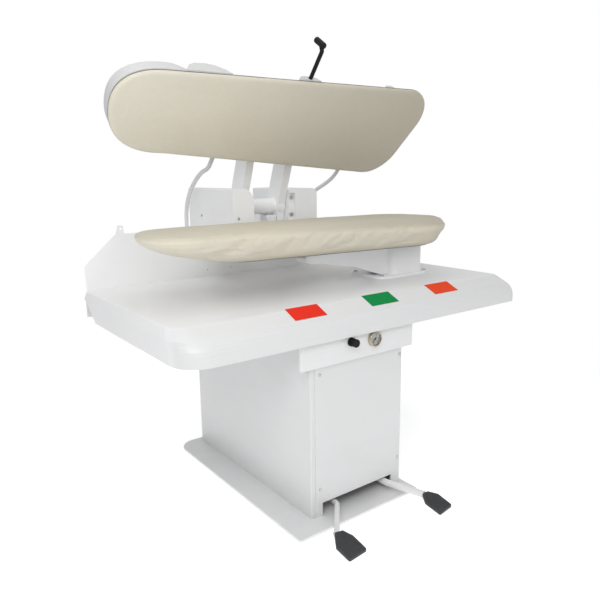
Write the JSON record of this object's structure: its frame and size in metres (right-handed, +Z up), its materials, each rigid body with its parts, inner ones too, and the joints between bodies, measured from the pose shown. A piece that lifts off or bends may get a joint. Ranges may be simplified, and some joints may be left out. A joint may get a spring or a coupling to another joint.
{
  "type": "steam press",
  "caption": "Free-standing laundry steam press: padded tapered buck on a table, matching padded head hinged at the rear, palm buttons, pedals, cabinet base.",
  "frame": {"origin": "centre of the four anchor holes in the base plate, on the floor plane", "axes": "+Z up, +Y to the rear of the press, +X to the operator's right"},
  "size_m": [1.391, 1.1644, 1.5092],
  "materials": {
    "white_paint": "smooth gloss enamel",
    "grey_paint": "satin primer",
    "cast_chest": "as cast, wiped",
    "head_casting": "cast and painted white",
    "chest_alloy": "machined",
    "pad_cloth": "plain woven cover over felt",
    "red_plastic": "moulded",
    "green_plastic": "moulded",
    "orange_plastic": "moulded",
    "black_plastic": "moulded",
    "dial_white": "printed",
    "needle_black": "lacquered",
    "lens": "clear",
    "brass": "turned",
    "zinc_steel": "zinc plated",
    "dark_steel": "oiled",
    "chrome": "plated",
    "rubber": "moulded tread",
    "hose_rubber": "reinforced, light grey cover",
    "cylinder_alloy": "anodised tube"
  },
  "bodies": {
    "frame": {"base_plate": "white_paint", "cabinet_shell": "white_paint", "front_panel": "white_paint", "rear_panel": "white_paint", "header_panel": "white_paint", "work_table": "white_paint", "table_frame": "grey_paint", "back_guard": "white_paint", "sheet_screws": "zinc_steel", "frame_bolts": "zinc_steel", "hinge_bracket_left": "white_paint", "hinge_bracket_right": "white_paint", "pivot_bushes": "brass", "housing_left": "white_paint", "housing_right": "white_paint", "stop_bracket": "white_paint", "stop_buffer": "rubber", "buck_stand": "white_paint", "buck_arm": "white_paint", "buck_chest": "cast_chest", "buck_pad": "pad_cloth", "steam_pipe": "dark_steel", "inlet_fittings": "brass", "steam_trap": "brass", "vacuum_duct": "zinc_steel", "valve_block": "cylinder_alloy", "regulator_body": "cylinder_alloy", "gauge_case": "brass", "gauge_dial": "dial_white", "gauge_lens": "lens", "control_box": "grey_paint", "pedal_valves": "black_plastic", "pedal_shaft": "zinc_steel", "pedal_brackets": "zinc_steel", "cylinder_body": "cylinder_alloy", "cylinder_mount": "grey_paint", "counterbalance_spring": "dark_steel", "hose_left": "hose_rubber", "hose_right": "hose_rubber", "hose_fittings": "brass", "button_housings": "black_plastic"},
    "head": {"head_pad": "pad_cloth", "head_chest": "chest_alloy", "head_cover": "head_casting", "handle_arm": "black_plastic", "handle_grip": "black_plastic", "yoke": "white_paint", "pivot_shaft": "zinc_steel", "rear_levers": "dark_steel"},
    "rod": {"cylinder_rod": "chrome", "rod_clevis": "zinc_steel"},
    "left_pedal": {"pedal_left_arm": "white_paint", "pedal_left_pad": "rubber"},
    "right_pedal": {"pedal_right_arm": "white_paint", "pedal_right_pad": "rubber"},
    "red_button": {"button_red": "red_plastic"},
    "green_button": {"button_green": "green_plastic"},
    "orange_button": {"button_orange": "orange_plastic"},
    "knob": {"regulator_knob": "black_plastic"},
    "needle": {"gauge_needle": "needle_black"}
  },
  "joints": [
    {"name": "head_tilt", "type": "hinge", "parent": "frame", "child": "head", "pos_m": [0.083, 0.335, 0.948], "axis": [1, 0, 0], "range_deg": [0, 51.6], "stiffness_Nm_per_rad": 150, "springref_deg": -85.94, "deforming": ["counterbalance_spring", "hose_left", "hose_right"]},
    {"name": "cylinder_rod_slide", "type": "slide", "parent": "frame", "child": "rod", "axis": [0, 0, 1], "range_m": [0, 0.0935]},
    {"name": "pedal_left_press", "type": "hinge", "parent": "frame", "child": "left_pedal", "pos_m": [-0.093, -0.226, 0.058], "axis": [1, 0, 0], "range_deg": [0, 2.2], "stiffness_Nm_per_rad": 120, "springref_deg": -3.44},
    {"name": "pedal_right_press", "type": "hinge", "parent": "frame", "child": "right_pedal", "pos_m": [0.113, -0.226, 0.058], "axis": [1, 0, 0], "range_deg": [0, 2.2], "stiffness_Nm_per_rad": 120, "springref_deg": -3.44},
    {"name": "red_button_press", "type": "slide", "parent": "frame", "child": "red_button", "axis": [0, 0.4136, -0.9105], "range_m": [0, 0.004], "stiffness_N_per_m": 900, "springref_m": -0.004},
    {"name": "green_button_press", "type": "slide", "parent": "frame", "child": "green_button", "axis": [0, 0.4136, -0.9105], "range_m": [0, 0.004], "stiffness_N_per_m": 900, "springref_m": -0.004},
    {"name": "orange_button_press", "type": "slide", "parent": "frame", "child": "orange_button", "axis": [0, 0.4136, -0.9105], "range_m": [0, 0.004], "stiffness_N_per_m": 900, "springref_m": -0.004},
    {"name": "regulator_turn", "type": "hinge", "parent": "frame", "child": "knob", "pos_m": [-0.044, -0.401, 0.566], "axis": [0, 1, 0], "range_deg": [-180, 180]},
    {"name": "needle_swing", "type": "hinge", "parent": "frame", "child": "needle", "pos_m": [0.052, -0.391, 0.559], "axis": [0, 1, 0], "range_deg": [0, 270], "stiffness_Nm_per_rad": 0.002}
  ],
  "couplings": [
    {"joint": "cylinder_rod_slide", "follows": "head_tilt", "m_per_rad": 0.10306}
  ]
}
